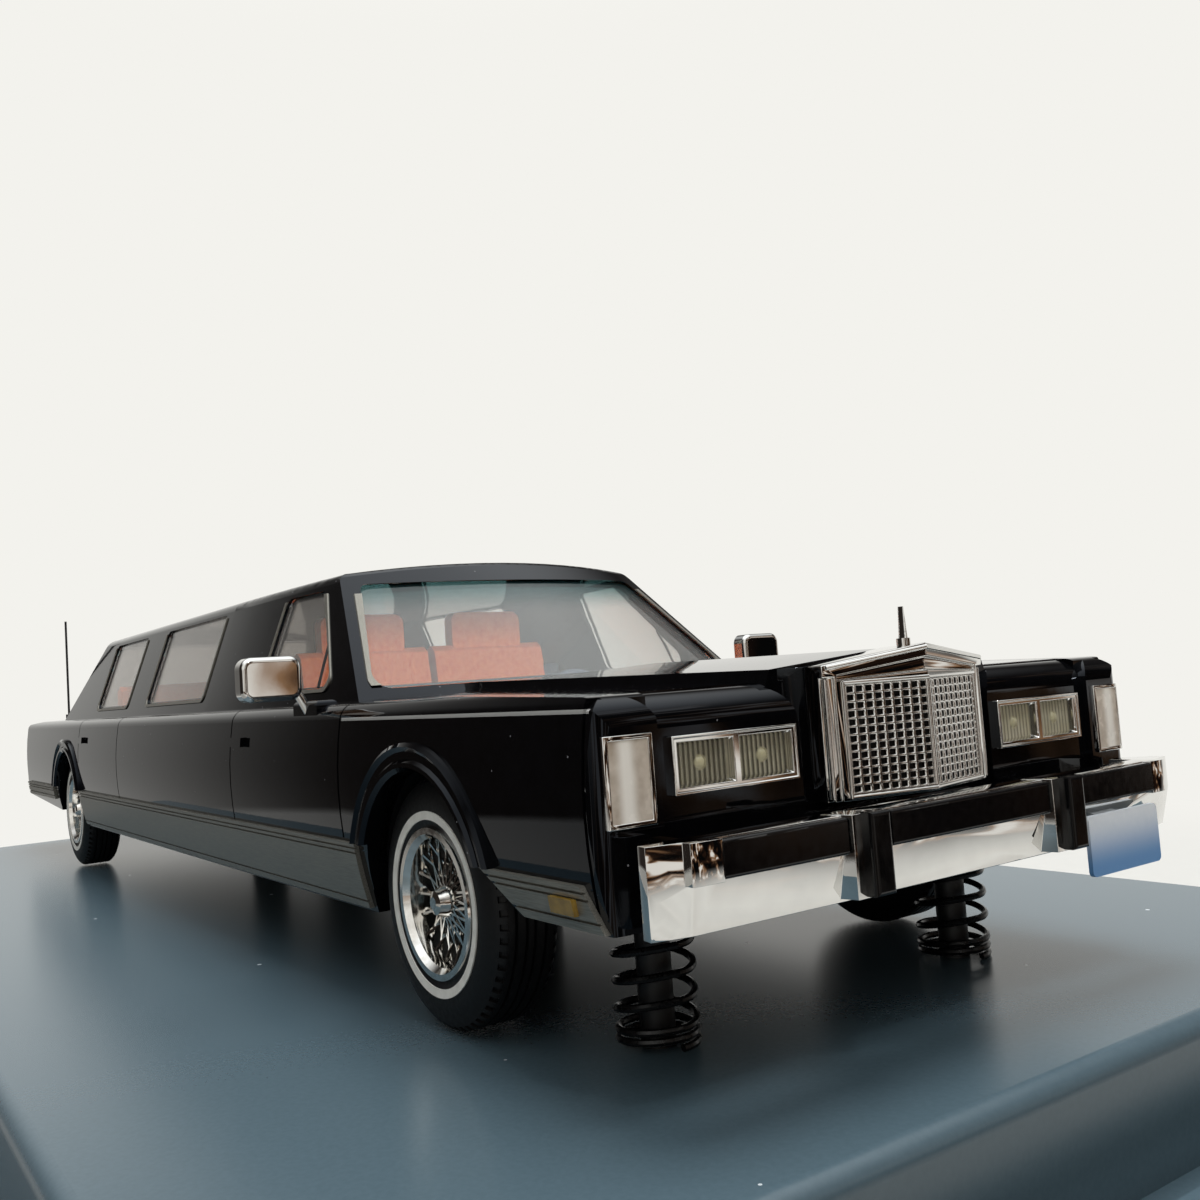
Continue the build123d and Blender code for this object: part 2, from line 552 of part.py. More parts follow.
# Headlamps: a frame with two bays on each side, ribbed lenses inside
bezel_front = FRONT_X - 0.1
bezel = block(FRONT_X - 0.5 - BEZEL_DEEP, bezel_front, BEZEL_Y0, BEZEL_Y1, BEZEL_Z0, BEZEL_Z1)
BAY_RIM, BAY_BAR = 0.3, 0.55
bay_w = (BEZEL_Y1 - BEZEL_Y0 - 2 * BAY_RIM - BAY_BAR) / 2
bays = [BEZEL_Y0 + BAY_RIM, BEZEL_Y0 + BAY_RIM + bay_w + BAY_BAR]
LENS_GAP = 0.05
lenses = []
for y0 in bays:
    bay = block(FRONT_X - 1.6, FRONT_X + 1, y0, y0 + bay_w, BEZEL_Z0 + BAY_RIM, BEZEL_Z1 - BAY_RIM)
    bezel -= bay
    teeth = 11
    tooth = (bay_w - 2 * LENS_GAP) / teeth
    back, face = FRONT_X - 1.6, FRONT_X - 0.75
    comb = [(back, y0 + LENS_GAP)]
    for i in range(teeth):
        comb += [(face, y0 + LENS_GAP + i * tooth), (face + 0.12, y0 + LENS_GAP + (i + 0.5) * tooth)]
    comb += [(face, y0 + bay_w - LENS_GAP), (back, y0 + bay_w - LENS_GAP)]
    lens = plan_cut(comb, BEZEL_Z0 + BAY_RIM + LENS_GAP, BEZEL_Z1 - BAY_RIM - LENS_GAP)
    lens += Pos(face - 0.15, y0 + bay_w / 2, (BEZEL_Z0 + BEZEL_Z1) / 2) * Sphere(0.42)
    lenses += solids_of(lens) + solids_of(mirror(lens, about=Plane.XZ))
save("headlamp_bezels", *solids_of(bezel), *solids_of(mirror(bezel, about=Plane.XZ)))
save("headlamp_lenses", *lenses)

# Corner and tail lamps follow the body's skin, a little proud of it
FRAME = 0.28
proud = lower_form(-0.12)
corner = (proud - lower_form(0.8)) & corner_region
pane_y, pane_z = (CORNER_Y0 + FRAME, CORNER_Y1 - FRAME), (CORNER_Z0 + FRAME, CORNER_Z1 - FRAME)
inner = block(FRONT_X - 1, FRONT_X + 2, *pane_y, *pane_z)
frame = (lower_form(-0.2) & corner_region) - inner
lens = corner & inner
save("corner_lamp_frames", *solids_of(both(frame)))
save("corner_lamps", *solids_of(both(lens)))
save("tail_lamps", *solids_of(both(proud & tail_region)))


# Bumpers are drawn from the body's end face: u outward, then placed at each end
def bumper_plan(z, back_off):
    front, half = BUMPER_OUT - back_off, BUMPER_HALF - 0.7 * back_off
    knee, inner = BUMPER_KNEE, BUMPER_KNEE - 0.4
    edges = [
        ThreePointArc((front - 0.25, knee), (front, 0), (front - 0.25, -knee)),
        Polyline((front - 0.25, -knee), (front - 0.8, -half), (front - 1.5, -half + 0.1), (0.6, -inner - 1.2),
                 (0.6, -inner), (front - 1.6, -inner), (front - 1.6, inner), (0.6, inner), (0.6, inner + 1.2),
                 (front - 1.5, half - 0.1), (front - 0.8, half), (front - 0.25, knee)),
    ]
    return Plane.XY.offset(z) * make_face(edges)


def bumper():
    low = loft([bumper_plan(BUMPER_BOTTOM, 0.45), bumper_plan(BUMPER_STEP, 0)], ruled=True)
    high = loft([bumper_plan(BUMPER_STEP, 0), bumper_plan(BUMPER_TOP, 0)], ruled=True)
    bar = low + high
    cheek = [(2.6, GUARD_Y - 1.75), (4.45, GUARD_Y - 1.35), (4.45, GUARD_Y + 1.35), (2.6, GUARD_Y + 1.75)]
    guard = plan_cut(cheek, BUMPER_BOTTOM + 0.2, BUMPER_TOP + 0.05)
    arm = block(0, 2.4, GUARD_Y - 1.2, GUARD_Y + 1.2, 10.0, 12.4)
    shoe = extrude(bumper_plan(BUMPER_STEP, -0.55), BUMPER_TOP - BUMPER_STEP)
    shoe &= block(2.0, 6, STRIP_END, 20.4, 9, 15)
    return bar + both(guard + arm + shoe)


def bumper_pads():
    pads = []
    gap = GUARD_Y + 1.65
    for y0, y1 in ((-GUARD_Y + 1.65, GUARD_Y - 1.65), (gap, STRIP_END), (-STRIP_END, -gap)):
        edges = bumper_plan(BUMPER_STEP + 0.1, -0.6)
        strip = extrude(edges, BUMPER_TOP - BUMPER_STEP - 0.15) & block(2.0, 6, y0, y1, 9, 15)
        middle = (y0 + y1) / 2
        outer_edges = strip.edges().filter_by(lambda e: e.center().X > BUMPER_OUT + 0.2)
        long_edges = outer_edges.filter_by(lambda e: abs(e.center().Y - middle) < 0.5)
        pads += solids_of(fillet(long_edges, 0.2))
    for sign in SIDES.values():
        y = sign * GUARD_Y
        pad = block(4.45, PAD_OUT, y - 0.75, y + 0.75, BUMPER_BOTTOM + 0.3, BUMPER_TOP + 0.15)
        pad = fillet(pad.edges().filter_by(lambda e: e.center().X > PAD_OUT - 0.01), 0.25)
        pads += solids_of(pad)
    return pads


bar = bumper()
pads = [pad - bar for pad in bumper_pads()]
ends = {"front": Pos(FRONT_X, 0, 0), "rear": Pos(TAIL_X + 1.0, 0, 0) * Rot(0, 0, 180)}
save("front_bumper", *solids_of(ends["front"] * bar))
save("front_bumper_pads", *[s for pad in pads for s in solids_of(ends["front"] * pad)])
rear_bar = ends["rear"] * bar - lower_form()
save("rear_bumper", *solids_of(rear_bar))
save("rear_bumper_pads", *[s for pad in pads for s in solids_of(ends["rear"] * pad)])

PLATE_Y, PLATE_HALF, PLATE_Z0, PLATE_Z1 = 14.3, 3.8, 7.2, 10.9
plate = block(FRONT_X + 4.2, FRONT_X + 4.5, PLATE_Y - PLATE_HALF, PLATE_Y + PLATE_HALF, PLATE_Z0, PLATE_Z1)
plate = fillet(plate.edges().filter_by(Axis.X), 0.35)
plate += block(FRONT_X + 2.8, FRONT_X + 4.3, PLATE_Y - 1.2, PLATE_Y + 1.2, 9.7, 10.6)
save("front_plate", *solids_of(plate - ends["front"] * bar))

# Lower side mouldings: columns are rear x, front x and low z
MOULDINGS = [(8.2, FRONT_X - 0.2, 9.0), (-105.6, -9.4, 6.7), (TAIL_X + 1.6, -125.0, 9.3)]
cover = lower_form(-MOULD_T) - lower_form(0)
mouldings = []
slant = side_cut([(7.5, 12), (19.7, 5), (0, 5), (0, 12)], 30)
slant += side_cut([(18.45, 12), (30, 12), (30, 5), (22.9, 5)], 30)
for x0, x1, z0 in MOULDINGS:
    strip = cover & block(x0, x1, 15, 30, z0, MOULD_Z)
    for z in (MOULD_Z - 0.4, MOULD_Z - 0.75, z0 + 0.45):
        groove = block(x0 - 1, x1 + 1, 15, 30, z, z + 0.13)
        strip -= (lower_form(-1) - lower_form(-MOULD_T + 0.15)) & groove
    mouldings += solids_of(both(strip - slant if x0 > 0 else strip))
save("side_mouldings", *mouldings)
marker = (lower_form(-MOULD_T - 0.3) - lower_form(-MOULD_T)) & block(16.2, 18.4, 15, 30, 9.75, 10.6)
save("marker_lenses", *solids_of(both(marker)))

# Door furniture. Columns are front x and rear x of each handle.
HANDLES = [(-33.0, -36.2), (-101.4, -104.6)]
grip_skin = lower_form(-0.4) - lower_form(0)
handles = []
for x0, x1 in HANDLES:
    handles += solids_of(both(grip_skin & block(x0, x1, 15, 30, 17.8, 18.6)))
save("door_handles", *handles)

mirror_head = block(-19.9, -18.3, -27.3, -22.6, 21.5, 24.9)
mirror_head = fillet(mirror_head.edges().filter_by(Axis.X), 0.9)
mirror_head = fillet(mirror_head.faces().sort_by(Axis.X)[-1].edges(), 0.45)
stalk = Pos(-19.1, -22.2, 20.9) * Rot(28, 0, 0) * Cylinder(0.35, 3.4)
head = mirror_head + stalk - lower_form() - cabin - mirror_foot
head = head.solids().sort_by(SortBy.VOLUME)[-1]
save("door_mirrors", head, mirror(head, about=Plane.XZ))

aerial = z_rod(-128.6, -19.6, 20.0, 36.4, 0.16) + z_rod(-128.6, -19.6, 20.0, 21.9, 0.45)
save("rear_aerial", *solids_of(aerial - lower_form()))

# Wheels, drawn about the middle of a tyre with the outside at +y
tyre_half = TYRE_W / 2
TYRE = [
    (RIM_R, -2.1), (5.2, -2.4), (6.6, -tyre_half), (7.5, -2.15), (TYRE_R, -1.6), (TYRE_R, 1.6), (7.5, 2.15),
    (6.6, tyre_half), (5.2, 2.4), (RIM_R, 2.1)]
BAND = [(5.25, 2.2), (5.8, 2.2), (5.8, 2.52), (5.25, 2.48)]
RIM = [
    (4.15, -2.1), (RIM_R, -2.1), (RIM_R, 2.1), (4.85, 2.25), (4.75, 2.5), (4.35, 2.5), (4.05, 2.1),
    (3.95, 1.2), (4.05, 0.2)]
HUB = [(0, -1.4), (1.5, -1.4), (1.5, -0.6), (1.0, -0.2), (1.0, 1.7), (0.75, 2.3), (0.4, 2.45), (0, 2.45)]
DRUM = [(1.5, -1.6), (4.15, -1.6), (4.05, -0.4), (1.5, -0.7)]


def turned(points):
    return revolve(make_face(Polyline(*points, close=True)), Axis.Y)


rim_solid = turned(RIM)
band = turned(BAND)
tyre = turned(TYRE) - band - rim_solid
wheel = turned(HUB)
SPOKES = 18
spoke_r = (0.9, 4.15)
spokes = []
for row, (hub_y, rim_y, skew) in enumerate(((1.5, 0.9, 26), (1.5, 0.9, -26), (0.1, 1.5, 8))):
    for i in range(SPOKES):
        a0 = 2 * pi * (i + row / 3) / SPOKES
        a1 = a0 + skew * pi / 180
        start = Vector(spoke_r[0] * cos(a0), hub_y, spoke_r[0] * sin(a0))
        end = Vector(spoke_r[1] * cos(a1), rim_y, spoke_r[1] * sin(a1))
        line = end - start
        spoke = Plane(origin=start, z_dir=line) * Pos(0, 0, line.length / 2) * Box(0.15, 0.15, line.length)
        spokes.append(spoke)
wheel = wheel.fuse(rim_solid, *spokes) - y_rod(0, 0, -3, 1.0, AXLE_R)
drum = turned(DRUM) - wheel
wheel_solid = wheel.solids().sort_by(SortBy.VOLUME)[-1]
for end, axle_x in AXLES.items():
    save(f"{end}_axle", y_rod(axle_x, AXLE_Z, -TYRE_Y - 1.0, TYRE_Y + 1.0, AXLE_R))
    bands, drums = [], []
    for side, sign in SIDES.items():
        place = Pos(axle_x, sign * TYRE_Y, AXLE_Z) * Rot(0, 0, 0 if sign > 0 else 180)
        save(f"{end}_{side}_rim", place * wheel_solid)
        save(f"{end}_{side}_tyre", *solids_of(place * tyre))
        bands += solids_of(place * band)
        drums += solids_of(place * drum)
    save(f"{end}_whitewalls", *bands)
    save(f"{end}_drums", *drums)
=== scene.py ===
import bpy
import json
from math import atan2, cos, pi, radians, sin
from mathutils import Matrix, Vector


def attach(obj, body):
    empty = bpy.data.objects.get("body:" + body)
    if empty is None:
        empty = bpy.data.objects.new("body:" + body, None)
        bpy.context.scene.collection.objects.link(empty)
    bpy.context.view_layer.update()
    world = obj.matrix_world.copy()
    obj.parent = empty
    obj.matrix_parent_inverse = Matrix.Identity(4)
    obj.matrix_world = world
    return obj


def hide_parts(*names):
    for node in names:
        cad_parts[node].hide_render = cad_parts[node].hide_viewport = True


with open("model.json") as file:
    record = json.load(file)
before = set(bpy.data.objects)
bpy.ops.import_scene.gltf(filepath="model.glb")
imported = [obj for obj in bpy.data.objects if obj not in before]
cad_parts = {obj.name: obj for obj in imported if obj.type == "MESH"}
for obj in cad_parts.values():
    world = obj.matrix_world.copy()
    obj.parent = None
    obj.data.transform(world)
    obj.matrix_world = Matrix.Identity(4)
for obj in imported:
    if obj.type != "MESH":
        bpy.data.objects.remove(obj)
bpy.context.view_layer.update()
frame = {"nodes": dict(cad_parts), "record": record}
nodes = frame["nodes"]
record = frame["record"]

# Lengths are written in millimetres of the model. Car places count from the point under the front axle:
# x forward, y left, z up from the plinth's deck.
MM = 0.001
AXLE_Z = 8.08
axle = record["behaviour"]["joints"][0]["pos_m"]
ORIGIN = Vector((axle[0], 0.0, axle[2] - AXLE_Z * MM))
WHEELBASE = 115.0
TYRE_Y = 19.25
BODY = "display_model"


def car(x, y, z):
    """A place on the car, given in mm, as a point of the frame."""
    return ORIGIN + Vector((x, y, z)) * MM


# Materials
def rgb(code):
    """An sRGB hex colour as linear values."""
    values = [int(code[i:i + 2], 16) / 255 for i in (1, 3, 5)]
    return tuple(v / 12.92 if v <= 0.04045 else ((v + 0.055) / 1.055) ** 2.4 for v in values) + (1.0,)


def add(tree, kind, values=None, links=None, **settings):
    """One shader node with its settings, its socket values and the links into it."""
    node = tree.nodes.new("ShaderNode" + kind)
    for name, value in settings.items():
        setattr(node, name, value)
    for socket, value in (values or {}).items():
        node.inputs[socket].default_value = value
    for socket, source in (links or {}).items():
        tree.links.new(source, node.inputs[socket])
    return node


def finish(name, **sockets):
    """A named material with its uniform numbers on the shader's own sockets."""
    made = bpy.data.materials.new(name)
    made.use_nodes = True
    tree = made.node_tree
    tree.nodes.clear()
    numbers = {key.replace("_", " "): value for key, value in sockets.items()}
    surface = add(tree, "BsdfPrincipled", numbers)
    add(tree, "OutputMaterial", links={"Surface": surface.outputs[0]})
    place = add(tree, "TexCoord").outputs["Object"]
    return made, tree, surface, place


def wave_scale(spacing):
    """The Wave node's scale for bands `spacing` mm apart."""
    return 2 * pi / (20 * spacing * MM)


def grain(tree, surface, place, size, colours, rough, bump=0.0, depth=0.01, detail=3.0):
    """Uneven colour and gloss from one noise with features `size` mm across and relief `depth` mm deep."""
    noise = add(tree, "TexNoise", {"Scale": 1 / (size * MM), "Detail": detail}, {"Vector": place})
    level = add(tree, "MapRange", {"From Min": 0.3, "From Max": 0.7}, {"Value": noise.outputs[0]})
    colour = add(tree, "Mix", {"A": rgb(colours[0]), "B": rgb(colours[1])},
                 {"Factor": level.outputs[0]}, data_type="RGBA")
    gloss = add(tree, "MapRange", {"To Min": rough[0], "To Max": rough[1]}, {"Value": level.outputs[0]})
    tree.links.new(colour.outputs["Result"], surface.inputs["Base Color"])
    tree.links.new(gloss.outputs[0], surface.inputs["Roughness"])
    if bump:
        relief = add(tree, "Bump", {"Strength": bump, "Distance": depth * MM}, {"Height": noise.outputs[0]})
        tree.links.new(relief.outputs[0], surface.inputs["Normal"])
    return noise.outputs[0], colour.outputs["Result"], gloss.outputs[0]


def dusted(tree, place, under, spacing, share, colour):
    """The colour under it with specks of dust `spacing` mm apart, and where those specks are."""
    specks = add(tree, "TexVoronoi", {"Scale": 1 / (spacing * MM), "Randomness": 1.0}, {"Vector": place})
    dust = add(tree, "Math", {1: share}, {0: specks.outputs["Distance"]}, operation="LESS_THAN")
    mixed = add(tree, "Mix", {"B": rgb(colour)}, {"Factor": dust.outputs[0], "A": under}, data_type="RGBA")
    return mixed.outputs["Result"], dust.outputs[0]


# The pinstripe's height, half width, ends along the fender and least distance from the middle, in mm
STRIPE_Z, STRIPE_HALF, STRIPE_X, STRIPE_Y = 19.88, 0.11, (-11.6, 20.1), 21.0


def black_lacquer():
    """Sprayed lacquer on resin: deep glossy black, a trace of orange peel, and dust that caught in it."""
    made, tree, surface, place = finish("black_lacquer_on_resin", IOR=1.5, Specular_Tint=rgb("#a9b3c2"))
    noise, black, gloss = grain(tree, surface, place, 0.9, ("#050506", "#08080a"), (0.02, 0.05),
                                bump=0.05, depth=0.02)
    dusty, dust = dusted(tree, place, black, 1.7, 0.035, "#77777a")
    # A pinstripe on the fender's crease, from the door's front edge into the end cap
    axes = add(tree, "SeparateXYZ", links={"Vector": place})
    stripe_z = car(0, 0, STRIPE_Z).z
    middle_x = car(sum(STRIPE_X) / 2, 0, 0).x
    half_x = (STRIPE_X[1] - STRIPE_X[0]) / 2 * MM
    level = add(tree, "Math", {1: stripe_z, 2: STRIPE_HALF * MM}, {0: axes.outputs["Z"]},
                operation="COMPARE")
    reach = add(tree, "Math", {1: middle_x, 2: half_x}, {0: axes.outputs["X"]}, operation="COMPARE")
    out = add(tree, "Math", links={0: axes.outputs["Y"]}, operation="ABSOLUTE")
    side = add(tree, "Math", {1: STRIPE_Y * MM}, {0: out.outputs[0]}, operation="GREATER_THAN")
    line = add(tree, "Math", links={0: level.outputs[0], 1: reach.outputs[0]}, operation="MULTIPLY")
    stripe = add(tree, "Math", links={0: line.outputs[0], 1: side.outputs[0]}, operation="MULTIPLY")
    lined = add(tree, "Mix", {"B": rgb("#9a9a98")}, {"Factor": stripe.outputs[0], "A": dusty},
                data_type="RGBA")
    tree.links.new(lined.outputs["Result"], surface.inputs["Base Color"])
    matt = add(tree, "Math", links={0: gloss, 1: dust}, operation="MAXIMUM")
    tree.links.new(matt.outputs[0], surface.inputs["Roughness"])
    return made


def bright_chrome():
    """Vacuum chrome on moulded plastic: a mirror, a little wavy and clouded where the plastic sank."""
    made, tree, surface, place = finish("bright_chrome_on_plastic", Metallic=1.0)
    grain(tree, surface, place, 1.4, ("#dcdbd8", "#e2e1de"), (0.02, 0.05), bump=0.04, depth=0.02,
          detail=2.0)
    return made


def wire_chrome():
    """The wire wheels' plating: chrome that is softer and a little warmer in its hollows."""
    made, tree, surface, place = finish("warm_chrome_on_plastic", Metallic=1.0)
    grain(tree, surface, place, 0.7, ("#d3cfc8", "#ecebe8"), (0.05, 0.14), bump=0.08, depth=0.02)
    return made


def slate_abs():
    """Moulded ABS with a fine spark-eroded grain: satin slate blue, with a few pale flecks of dust."""
    made, tree, surface, place = finish("moulded_slate_abs", IOR=1.54)
    noise, slate, gloss = grain(tree, surface, place, 0.35, ("#45565f", "#495a63"), (0.24, 0.26),
                                bump=0.006, depth=0.02, detail=2.0)
    dusty, dust = dusted(tree, place, slate, 6.0, 0.03, "#b9c0c4")
    tree.links.new(dusty, surface.inputs["Base Color"])
    return made


def black_abs():
    """Plain black moulded ABS, softly grained."""
    made, tree, surface, place = finish("black_moulded_abs", IOR=1.54)
    grain(tree, surface, place, 0.3, ("#0b0b0c", "#151516"), (0.42, 0.58), bump=0.2, depth=0.02)
    return made


def black_wire():
    """Spring wire with a black oxide skin: dark, with a narrow oily shine."""
    made, tree, surface, place = finish("black_oxide_wire", Metallic=0.4, Specular_IOR_Level=0.6)
    grain(tree, surface, place, 0.2, ("#08080a", "#141415"), (0.22, 0.4), bump=0.1, depth=0.01)
    return made


def bright_steel():
    """Turned steel, drawn fine round the rod."""
    made, tree, surface, place = finish("turned_bright_steel", Metallic=1.0, Anisotropic=0.4)
    grain(tree, surface, place, 0.15, ("#8e8e8c", "#b2b1ae"), (0.24, 0.36))
    return made


def pad_rubber():
    """Glossy black soft plastic of the rub strips and guard pads."""
    made, tree, surface, place = finish("black_strip_vinyl", IOR=1.5, Specular_IOR_Level=0.35)
    grain(tree, surface, place, 0.5, ("#060607", "#0b0b0c"), (0.1, 0.16), bump=0.02, depth=0.01)
    return made


def tyre_rubber():
    """Moulded tyre rubber: charcoal and dull, with a fine grain."""
    made, tree, surface, place = finish("moulded_tyre_rubber", IOR=1.5, Specular_IOR_Level=0.3)
    grain(tree, surface, place, 0.35, ("#0a0a0b", "#131314"), (0.42, 0.58), bump=0.3, depth=0.02)
    return made


def white_rubber():
    """The white band: chalky rubber, a little grey where it is handled."""
    made, tree, surface, place = finish("white_band_rubber", IOR=1.5)
    grain(tree, surface, place, 0.8, ("#d9d7cf", "#eeece5"), (0.4, 0.55), bump=0.1, depth=0.01)
    return made


def satin_foil():
    """Foil-stamped aluminium strip: warm grey, brushed lengthwise with streaks about 0.06 mm wide."""
    made, tree, surface, place = finish("brushed_aluminium_foil", Metallic=0.7)
    along = add(tree, "Mapping", {"Scale": (0.04, 1.0, 1.0)}, {"Vector": place})
    grain(tree, surface, along.outputs[0], 0.06, ("#77756e", "#9b988f"), (0.32, 0.46), bump=0.08,
          depth=0.01)
    return made


# Where the corner lamp's painted highlight runs, out from the middle, and where its fade from there starts
# and ends, in mm
LAMP_MIDDLE_Y, LAMP_HIGHLIGHT_FULL, LAMP_HIGHLIGHT_END = 20.9, 0.1, 0.8


def milky_lens():
    """Corner lamp: a fluted lens, beige at its edges, with a white highlight painted down the middle."""
    made, tree, surface, place = finish("fluted_milky_lens", IOR=1.5, Coat_Weight=0.2, Coat_Roughness=0.03)
    noise, edge, gloss = grain(tree, surface, place, 1.2, ("#b3a596", "#ded4c7"), (0.2, 0.3))
    axes = add(tree, "SeparateXYZ", links={"Vector": place})
    out = add(tree, "Math", links={0: axes.outputs["Y"]}, operation="ABSOLUTE")
    off = add(tree, "Math", {1: LAMP_MIDDLE_Y * MM}, {0: out.outputs[0]}, operation="SUBTRACT")
    away = add(tree, "Math", links={0: off.outputs[0]}, operation="ABSOLUTE")
    # Painted highlight: white down the lens's middle, fading out to the beige of its edges
    glow = add(tree, "MapRange",
               {"From Min": LAMP_HIGHLIGHT_FULL * MM, "From Max": LAMP_HIGHLIGHT_END * MM, "To Min": 1.0, "To Max": 0.0},
               {"Value": away.outputs[0]}, interpolation_type="SMOOTHSTEP")
    lit = add(tree, "Mix", {"B": rgb("#faf6ee")}, {"Factor": glow.outputs[0], "A": edge}, data_type="RGBA")
    tree.links.new(lit.outputs["Result"], surface.inputs["Base Color"])
    flutes = add(tree, "TexWave", {"Scale": wave_scale(0.45), "Distortion": 0.4}, {"Vector": place},
                 bands_direction="Y")
    relief = add(tree, "Bump", {"Strength": 0.2, "Distance": 0.04 * MM}, {"Height": flutes.outputs["Fac"]})
    tree.links.new(relief.outputs[0], surface.inputs["Normal"])
    return made


def coloured_lens(name, colours):
    """A small tinted acrylic lens with a cross-hatched back that shows through as fine facets."""
    made, tree, surface, place = finish(name, IOR=1.49, Coat_Weight=0.6, Coat_Roughness=0.04)
    grain(tree, surface, place, 0.6, colours, (0.12, 0.24))
    facets = add(tree, "TexVoronoi", {"Scale": 1 / (0.45 * MM), "Randomness": 0.1}, {"Vector": place})
    relief = add(tree, "Bump", {"Strength": 0.3, "Distance": 0.05 * MM},
                 {"Height": facets.outputs["Distance"]})
    tree.links.new(relief.outputs[0], surface.inputs["Normal"])
    return made


# Heights between which the plate turns from blue to white, and the panes take their shade band, in mm
PLATE_FADE, SHADE_BAND = (7.6, 10.8), (27.6, 31.2)


def rising(tree, place, heights):
    """From 0 at the first of two heights to 1 at the second."""
    axes = add(tree, "SeparateXYZ", links={"Vector": place})
    low, high = (car(0, 0, z).z for z in heights)
    fade = add(tree, "MapRange", {"From Min": low, "From Max": high}, {"Value": axes.outputs["Z"]},
               interpolation_type="SMOOTHSTEP")
    return fade.outputs[0]


def plate_enamel():
    """Printed plate with nothing on it: white above, washed with sky blue toward its lower edge."""
    made, tree, surface, place = finish("printed_plate_enamel", IOR=1.5)
    noise, pale, gloss = grain(tree, surface, place, 0.5, ("#dde4ec", "#e2e8ef"), (0.4, 0.46))
    washed = add(tree, "Mix", {"A": rgb("#5f8fc2")}, {"Factor": rising(tree, place, PLATE_FADE), "B": pale},
                 data_type="RGBA")
    tree.links.new(washed.outputs["Result"], surface.inputs["Base Color"])
    return made


def seat_plastic():
    """Seats moulded in orange-red plastic, with pleats 1.6 mm apart and a fine leather grain."""
    made, tree, surface, place = finish("orange_red_seat_plastic", IOR=1.5)
    noise, colour, gloss = grain(tree, surface, place, 0.4, ("#f0682c", "#ff8e50"), (0.4, 0.55))
    pleats = add(tree, "TexWave", {"Scale": wave_scale(1.6)}, {"Vector": place}, bands_direction="Y")
    deep = add(tree, "Bump", {"Strength": 0.5, "Distance": 0.15 * MM}, {"Height": pleats.outputs["Fac"]})
    fine = add(tree, "Bump", {"Strength": 0.2, "Distance": 0.03 * MM},
               {"Height": noise, "Normal": deep.outputs[0]})
    tree.links.new(fine.outputs[0], surface.inputs["Normal"])
    return made


def cabin_plastic():
    """The tub, dash and partition: dark blue-grey moulded plastic, lightly grained."""
    made, tree, surface, place = finish("blue_grey_cabin_plastic", IOR=1.5)
    grain(tree, surface, place, 0.3, ("#3f4858", "#59647a"), (0.45, 0.6), bump=0.3, depth=0.03)
    return made


def clear_pane(name, tint_low, tint_high):
    """Clear moulded pane, faintly milky, with a shade band that fades out below the roof."""
    made, tree, surface, place = finish(name, IOR=1.45, Transmission_Weight=0.96, Roughness=0.0)
    tint = add(tree, "Mix", {"A": rgb(tint_low), "B": rgb(tint_high)},
               {"Factor": rising(tree, place, SHADE_BAND)}, data_type="RGBA")
    tree.links.new(tint.outputs["Result"], surface.inputs["Base Color"])
    return made


# Round bosses of the headlamp lenses: distances from the middle, height, and where the rim starts and ends
LENS_BOSS_Y, LENS_BOSS_Z, LENS_BOSS_R = (11.155, 15.535), 16.725, (0.32, 0.46)


def lamp_lens():
    """Headlamp lens: acrylic yellowed like old varnish, its upright ribs 0.34 mm apart bowing a little, with
    painted shade in the trough of each rib.
    """
    made, tree, surface, place = finish("yellowed_ribbed_lens", IOR=1.49, Transmission_Weight=0.35,
                                        Coat_Weight=0.5)
    bowing = {"Scale": wave_scale(0.339), "Distortion": 1.2, "Detail": 0.0, "Detail Scale": 0.15}
    ribs = add(tree, "TexWave", bowing, {"Vector": place}, bands_direction="Y")
    stain = add(tree, "TexNoise", {"Scale": 1 / (1.5 * MM), "Detail": 2.0}, {"Vector": place})
    warm = add(tree, "Mix", {"A": rgb("#c6bf9d"), "B": rgb("#efead6")}, {"Factor": stain.outputs[0]},
               data_type="RGBA")
    # Painted shade: each rib's trough is dark olive, and its crest is the lens's own warm colour
    ribbed = add(tree, "Mix", {"A": rgb("#4d4a3a")},
                 {"Factor": ribs.outputs["Fac"], "B": warm.outputs["Result"]}, data_type="RGBA")
    # A plain round boss in the middle of each lens
    axes = add(tree, "SeparateXYZ", links={"Vector": place})
    out = add(tree, "Math", links={0: axes.outputs["Y"]}, operation="ABSOLUTE")
    flat = add(tree, "CombineXYZ", links={"Y": out.outputs[0], "Z": axes.outputs["Z"]})
    reach = []
    for boss_y in LENS_BOSS_Y:
        centre = (0.0, boss_y * MM, car(0, 0, LENS_BOSS_Z).z)
        away = add(tree, "VectorMath", {1: centre}, {0: flat.outputs[0]}, operation="DISTANCE")
        reach.append(away.outputs["Value"])
    near = add(tree, "Math", links={0: reach[0], 1: reach[1]}, operation="MINIMUM")
    rim = [r * MM for r in LENS_BOSS_R]
    plain = add(tree, "MapRange", {"From Min": rim[0], "From Max": rim[1], "To Min": 1.0, "To Max": 0.0},
                {"Value": near.outputs[0]})
    colour = add(tree, "Mix", {"B": rgb("#e3dcb4")},
                 {"Factor": plain.outputs[0], "A": ribbed.outputs["Result"]}, data_type="RGBA")
    gloss = add(tree, "MapRange", {"To Min": 0.06, "To Max": 0.16}, {"Value": stain.outputs[0]})
    relief = add(tree, "Bump", {"Strength": 0.5, "Distance": 0.08 * MM}, {"Height": ribs.outputs["Fac"]})
    tree.links.new(colour.outputs["Result"], surface.inputs["Base Color"])
    tree.links.new(gloss.outputs[0], surface.inputs["Roughness"])
    tree.links.new(relief.outputs[0], surface.inputs["Normal"])
    return made


